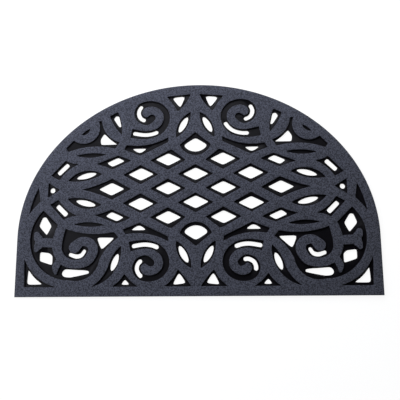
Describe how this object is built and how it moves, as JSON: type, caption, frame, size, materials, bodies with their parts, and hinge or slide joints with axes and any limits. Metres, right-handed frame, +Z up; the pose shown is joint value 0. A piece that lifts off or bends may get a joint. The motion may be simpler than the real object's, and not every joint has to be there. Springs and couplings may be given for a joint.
{
  "type": "half round doormat",
  "caption": "Half round rubber doormat with raised flocked straps in a scroll and lattice pattern and drain holes through its web.",
  "frame": {"origin": "on the underside, on the middle line, half way between the straight edge and the top of the arch", "axes": "+X to the right along the straight edge, +Y from the straight edge towards the top of the arch, +Z up out of the flocked face"},
  "size_m": [0.75, 0.45, 0.008],
  "materials": {
    "flocked_rubber": "matt, short grey pile on the straps and bare black rubber in the pockets"
  },
  "bodies": {
    "root": {"mat": "flocked_rubber"}
  },
  "joints": []
}
